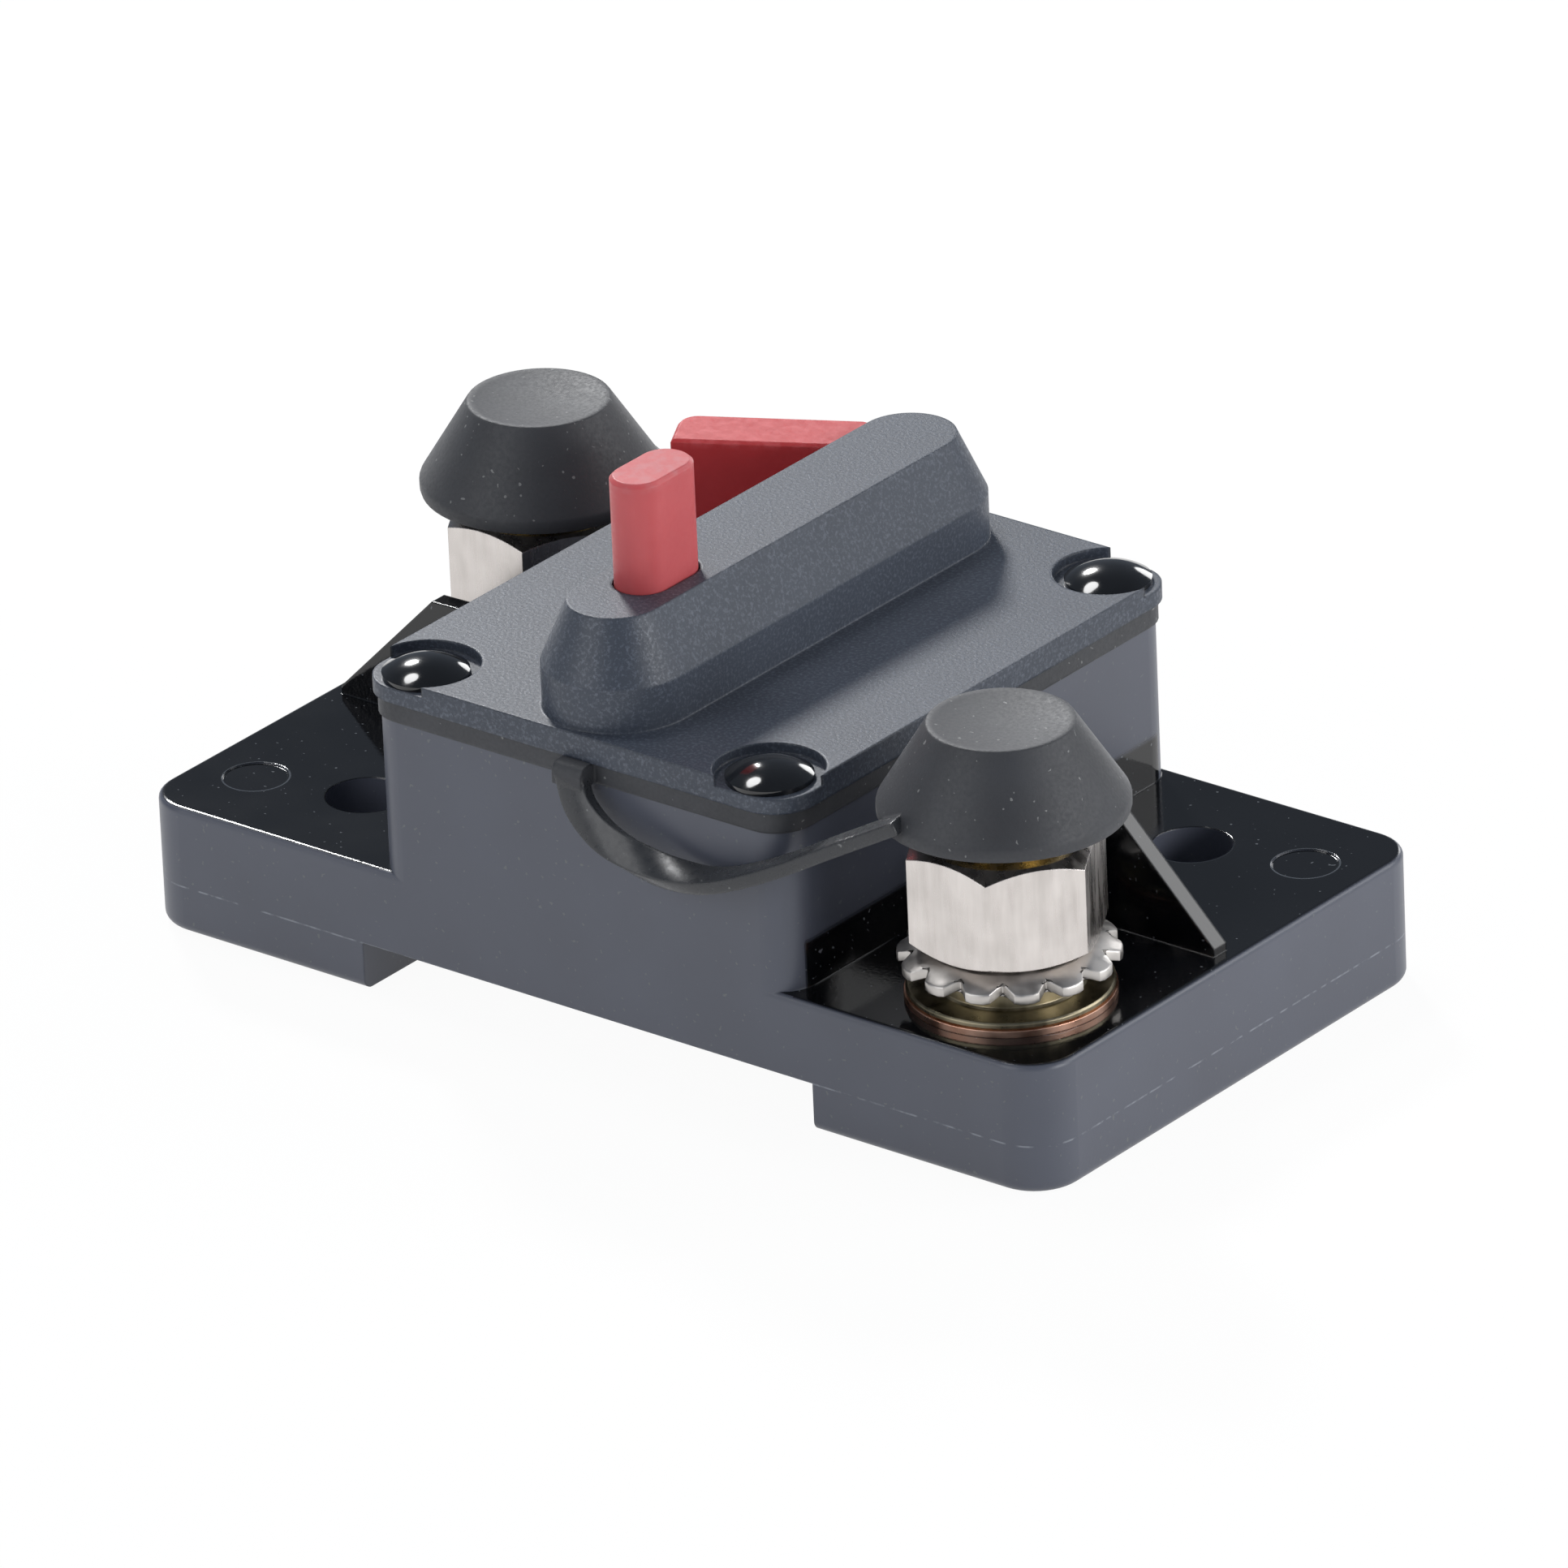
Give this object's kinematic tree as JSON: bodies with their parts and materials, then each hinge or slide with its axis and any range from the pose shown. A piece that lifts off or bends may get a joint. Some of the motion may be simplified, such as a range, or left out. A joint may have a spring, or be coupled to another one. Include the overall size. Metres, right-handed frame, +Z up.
{
  "type": "high current circuit breaker",
  "caption": "Surface mounted thermal circuit breaker with capped stud terminals, push to trip button and swinging reset lever.",
  "frame": {"origin": "middle of the base's underside, at the feet", "axes": "+X along the base, +Y across it towards the lever's pivot, +Z up out of the mounting surface"},
  "size_m": [0.092, 0.058, 0.0475],
  "materials": {
    "phenolic_black": "glossy moulded tops, satin sides",
    "nylon_grey": "fine satin grain",
    "rubber_black": "matt moulded rubber",
    "seal_rubber": "matt rubber",
    "black_rivet": "glossy black",
    "zinc_steel": "bright zinc plate",
    "zinc_washer": "zinc plate",
    "bronze": "yellow bronze, turned",
    "copper_washer": "copper coloured, stamped",
    "copper": "plain copper",
    "silver_contact": "silver contact",
    "plain_steel": "plain steel",
    "spring_steel": "drawn wire",
    "rivet_brass": "headed brass",
    "bimetal": "rolled bimetal",
    "red_plastic": "red moulded plastic",
    "cam_plastic": "natural moulded plastic"
  },
  "bodies": {
    "root": {"housing": "phenolic_black", "lid": "nylon_grey", "gasket_with_stud_caps": "rubber_black", "lid_rivets": "black_rivet", "terminal_studs": "zinc_steel", "terminal_nuts": "zinc_steel", "star_washers": "zinc_washer", "terminal_bushes": "bronze", "flat_washers": "copper_washer", "line_terminal_bar": "copper", "load_terminal_bar": "copper", "fixed_contact": "silver_contact", "arm_bracket": "copper", "arm_pivot_pin": "plain_steel", "bracket_rivets": "rivet_brass", "arm_spring": "spring_steel", "bimetal_strip": "bimetal", "bimetal_clamp": "plain_steel", "bimetal_rivets": "rivet_brass", "button_retainer": "plain_steel", "button_spring": "spring_steel", "shaft_seal": "seal_rubber"},
    "trip_button": {"trip_button": "red_plastic", "button_seal": "seal_rubber"},
    "reset_lever": {"reset_lever": "red_plastic", "lever_shaft": "plain_steel", "reset_cam": "cam_plastic", "lever_spring": "spring_steel"},
    "contact_arm": {"contact_arm": "copper", "moving_contact": "silver_contact"}
  },
  "joints": [
    {"name": "button_press", "type": "slide", "parent": "root", "child": "trip_button", "axis": [0, 0, -1], "range_m": [0, 0.004], "stiffness_N_per_m": 1200, "springref_m": -0.001, "deforming": ["button_spring"]},
    {"name": "lever_swing", "type": "hinge", "parent": "root", "child": "reset_lever", "pos_m": [0.0006, 0.019, 0.0294], "axis": [0, 0, 1], "range_deg": [0, 61.6]},
    {"name": "contact_arm_turn", "type": "hinge", "parent": "root", "child": "contact_arm", "pos_m": [0, 0.015, 0.0145], "axis": [1, 0, 0], "range_deg": [0, 5.6], "stiffness_Nm_per_rad": 0.02, "springref_deg": -2.86, "deforming": ["arm_spring"]}
  ],
  "couplings": [
    {"joint": "contact_arm_turn", "follows": "lever_swing", "ratio": 0.0909}
  ]
}
